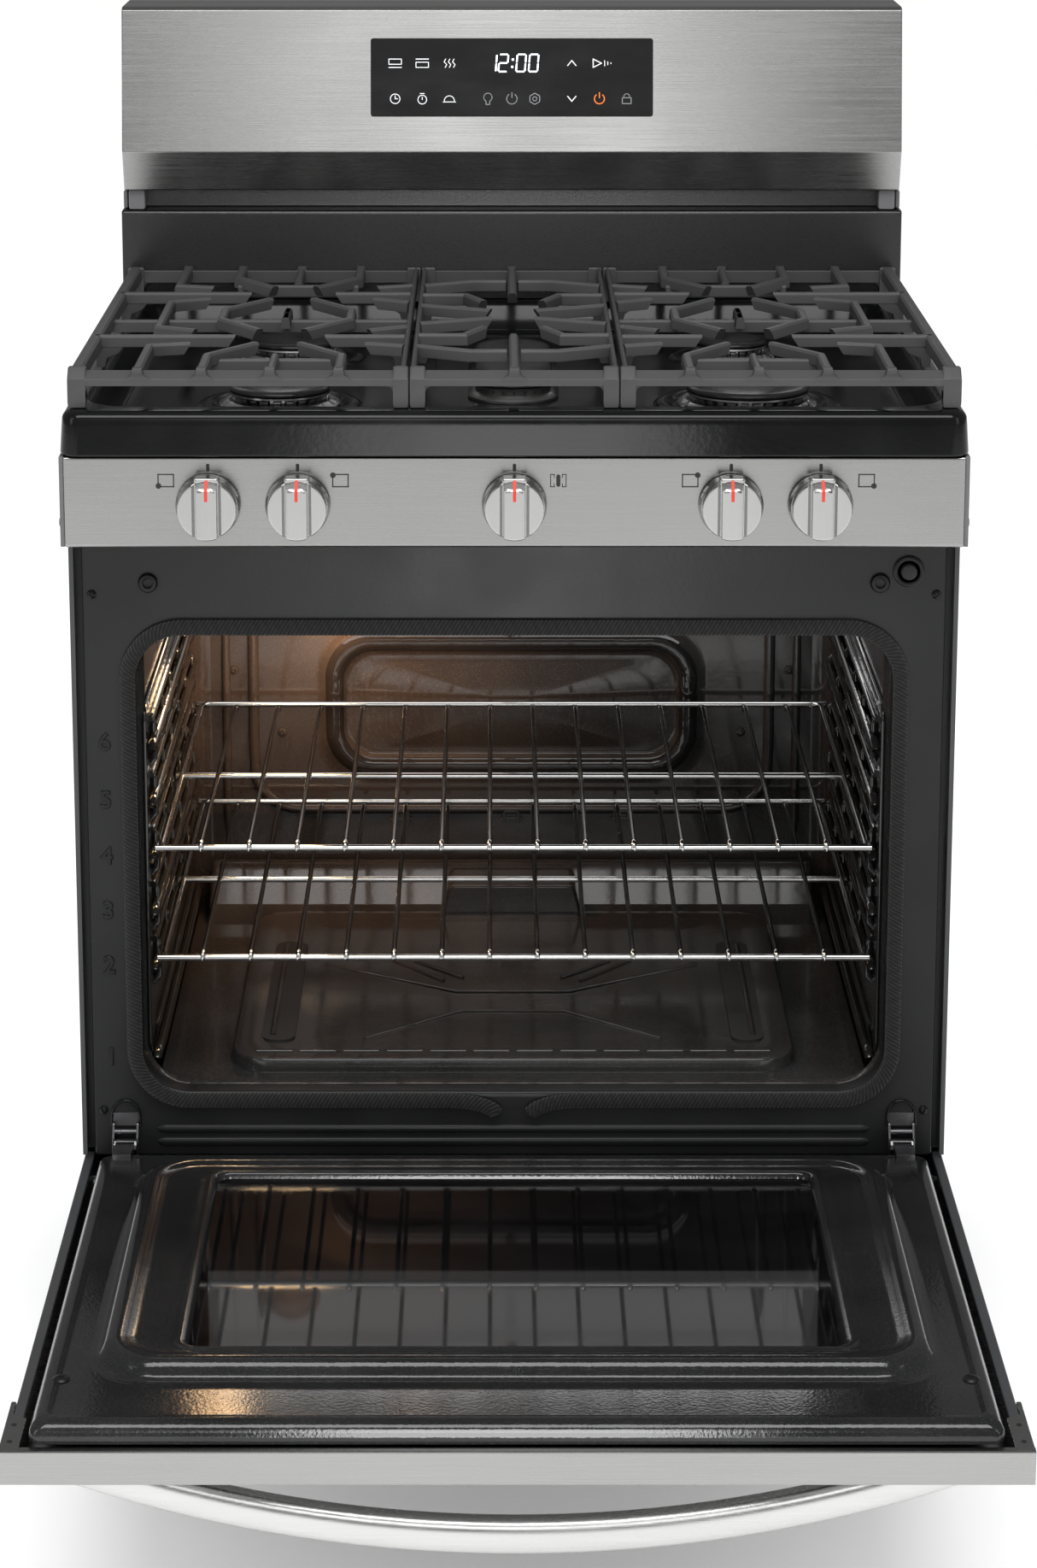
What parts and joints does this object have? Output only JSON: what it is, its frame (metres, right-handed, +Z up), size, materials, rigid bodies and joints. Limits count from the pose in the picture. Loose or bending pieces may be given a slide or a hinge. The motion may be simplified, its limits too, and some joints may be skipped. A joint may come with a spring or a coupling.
{
  "type": "freestanding gas range",
  "caption": "Freestanding stainless gas range with cast-iron grates, front knobs, a display backguard, an oven with racks behind a drop-down door, and a drawer.",
  "frame": {"origin": "middle of the footprint, on the floor, with the oven door lying open", "axes": "+Z up, +Y from the front of the range towards the wall, +X to the right as seen from the front"},
  "size_m": [0.762, 1.158, 1.207],
  "materials": {
    "stainless": "horizontally brushed",
    "black_paint": "satin black",
    "frame_porcelain": "charcoal porcelain enamel, semi-gloss",
    "porcelain": "gloss black porcelain enamel",
    "cast_iron": "matte enamelled",
    "chrome": "bright wire",
    "aluminium": "die cast, satin",
    "grey_plastic": "moulded grey",
    "glass": "dark tinted, polished",
    "rope": "braided glass fibre",
    "zinc": "zinc coated steel"
  },
  "bodies": {
    "range_body": {"back_panel": "zinc", "backguard_head": "stainless", "backguard_lower": "black_paint", "bake_burner": "zinc", "base_pan": "zinc", "broil_burner": "zinc", "burner_cap_centre": "black_paint", "burner_cap_front_left": "black_paint", "burner_cap_front_right": "black_paint", "burner_cap_rear_left": "black_paint", "burner_cap_rear_right": "black_paint", "burner_head_centre": "aluminium", "burner_head_front_left": "aluminium", "burner_head_front_right": "aluminium", "burner_head_rear_left": "aluminium", "burner_head_rear_right": "aluminium", "control_panel": "stainless", "cooktop": "porcelain", "display_glass": "glass", "gas_manifold": "zinc", "grate_centre": "cast_iron", "grate_left": "cast_iron", "grate_right": "cast_iron", "levelling_leg_front_left": "zinc", "levelling_leg_front_right": "zinc", "levelling_leg_rear_left": "zinc", "levelling_leg_rear_right": "zinc", "oven_cavity": "porcelain", "oven_floor_panel": "porcelain", "oven_front_frame": "frame_porcelain", "oven_gasket": "rope", "oven_lamp": "glass", "panel_bracket": "grey_plastic", "rack_guide_left": "porcelain", "rack_guide_right": "porcelain", "side_panel_left": "black_paint", "side_panel_right": "black_paint"},
    "door": {"door_skin": "stainless", "door_top_trim": "stainless", "door_liner": "porcelain", "door_glass_inner": "glass", "door_glass_outer": "glass", "door_handle": "stainless", "door_hinge_left": "zinc", "door_hinge_right": "zinc"},
    "drawer": {"drawer_front": "stainless", "drawer_box": "zinc"},
    "rack_upper": {"oven_rack_upper": "chrome"},
    "rack_lower": {"oven_rack_lower": "chrome"},
    "lamp_switch": {"lamp_switch_plunger": "grey_plastic"},
    "stem_front_left": {"valve_stem_front_left": "aluminium"},
    "knob_front_left": {"knob_front_left": "stainless"},
    "stem_rear_left": {"valve_stem_rear_left": "aluminium"},
    "knob_rear_left": {"knob_rear_left": "stainless"},
    "stem_centre": {"valve_stem_centre": "aluminium"},
    "knob_centre": {"knob_centre": "stainless"},
    "stem_rear_right": {"valve_stem_rear_right": "aluminium"},
    "knob_rear_right": {"knob_rear_right": "stainless"},
    "stem_front_right": {"valve_stem_front_right": "aluminium"},
    "knob_front_right": {"knob_front_right": "stainless"}
  },
  "joints": [
    {"name": "door_hinge", "type": "hinge", "parent": "range_body", "child": "door", "pos_m": [0, -0.039, 0.264], "axis": [-1, 0, 0], "range_deg": [0, 90]},
    {"name": "rack_upper_slide", "type": "slide", "parent": "range_body", "child": "rack_upper", "axis": [0, 1, 0], "range_m": [-0.35, 0]},
    {"name": "rack_lower_slide", "type": "slide", "parent": "range_body", "child": "rack_lower", "axis": [0, 1, 0], "range_m": [-0.35, 0]},
    {"name": "drawer_slide", "type": "slide", "parent": "range_body", "child": "drawer", "axis": [0, 1, 0], "range_m": [-0.38, 0]},
    {"name": "lamp_switch_press", "type": "slide", "parent": "range_body", "child": "lamp_switch", "axis": [0, 1, 0], "range_m": [0, 0.003], "stiffness_N_per_m": 300},
    {"name": "knob_turn_front_left", "type": "hinge", "parent": "range_body", "child": "stem_front_left", "pos_m": [-0.2545, -0.071, 0.845], "axis": [0, -1, 0], "range_deg": [0, 250]},
    {"name": "knob_turn_rear_left", "type": "hinge", "parent": "range_body", "child": "stem_rear_left", "pos_m": [-0.18, -0.071, 0.845], "axis": [0, -1, 0], "range_deg": [0, 250]},
    {"name": "knob_turn_centre", "type": "hinge", "parent": "range_body", "child": "stem_centre", "pos_m": [0, -0.071, 0.845], "axis": [0, -1, 0], "range_deg": [0, 250]},
    {"name": "knob_turn_rear_right", "type": "hinge", "parent": "range_body", "child": "stem_rear_right", "pos_m": [0.18, -0.071, 0.845], "axis": [0, -1, 0], "range_deg": [0, 250]},
    {"name": "knob_turn_front_right", "type": "hinge", "parent": "range_body", "child": "stem_front_right", "pos_m": [0.2545, -0.071, 0.845], "axis": [0, -1, 0], "range_deg": [0, 250]},
    {"name": "knob_press_front_left", "type": "slide", "parent": "stem_front_left", "child": "knob_front_left", "axis": [0, 1, 0], "range_m": [0, 0.003], "stiffness_N_per_m": 800},
    {"name": "knob_press_rear_left", "type": "slide", "parent": "stem_rear_left", "child": "knob_rear_left", "axis": [0, 1, 0], "range_m": [0, 0.003], "stiffness_N_per_m": 800},
    {"name": "knob_press_centre", "type": "slide", "parent": "stem_centre", "child": "knob_centre", "axis": [0, 1, 0], "range_m": [0, 0.003], "stiffness_N_per_m": 800},
    {"name": "knob_press_rear_right", "type": "slide", "parent": "stem_rear_right", "child": "knob_rear_right", "axis": [0, 1, 0], "range_m": [0, 0.003], "stiffness_N_per_m": 800},
    {"name": "knob_press_front_right", "type": "slide", "parent": "stem_front_right", "child": "knob_front_right", "axis": [0, 1, 0], "range_m": [0, 0.003], "stiffness_N_per_m": 800}
  ]
}
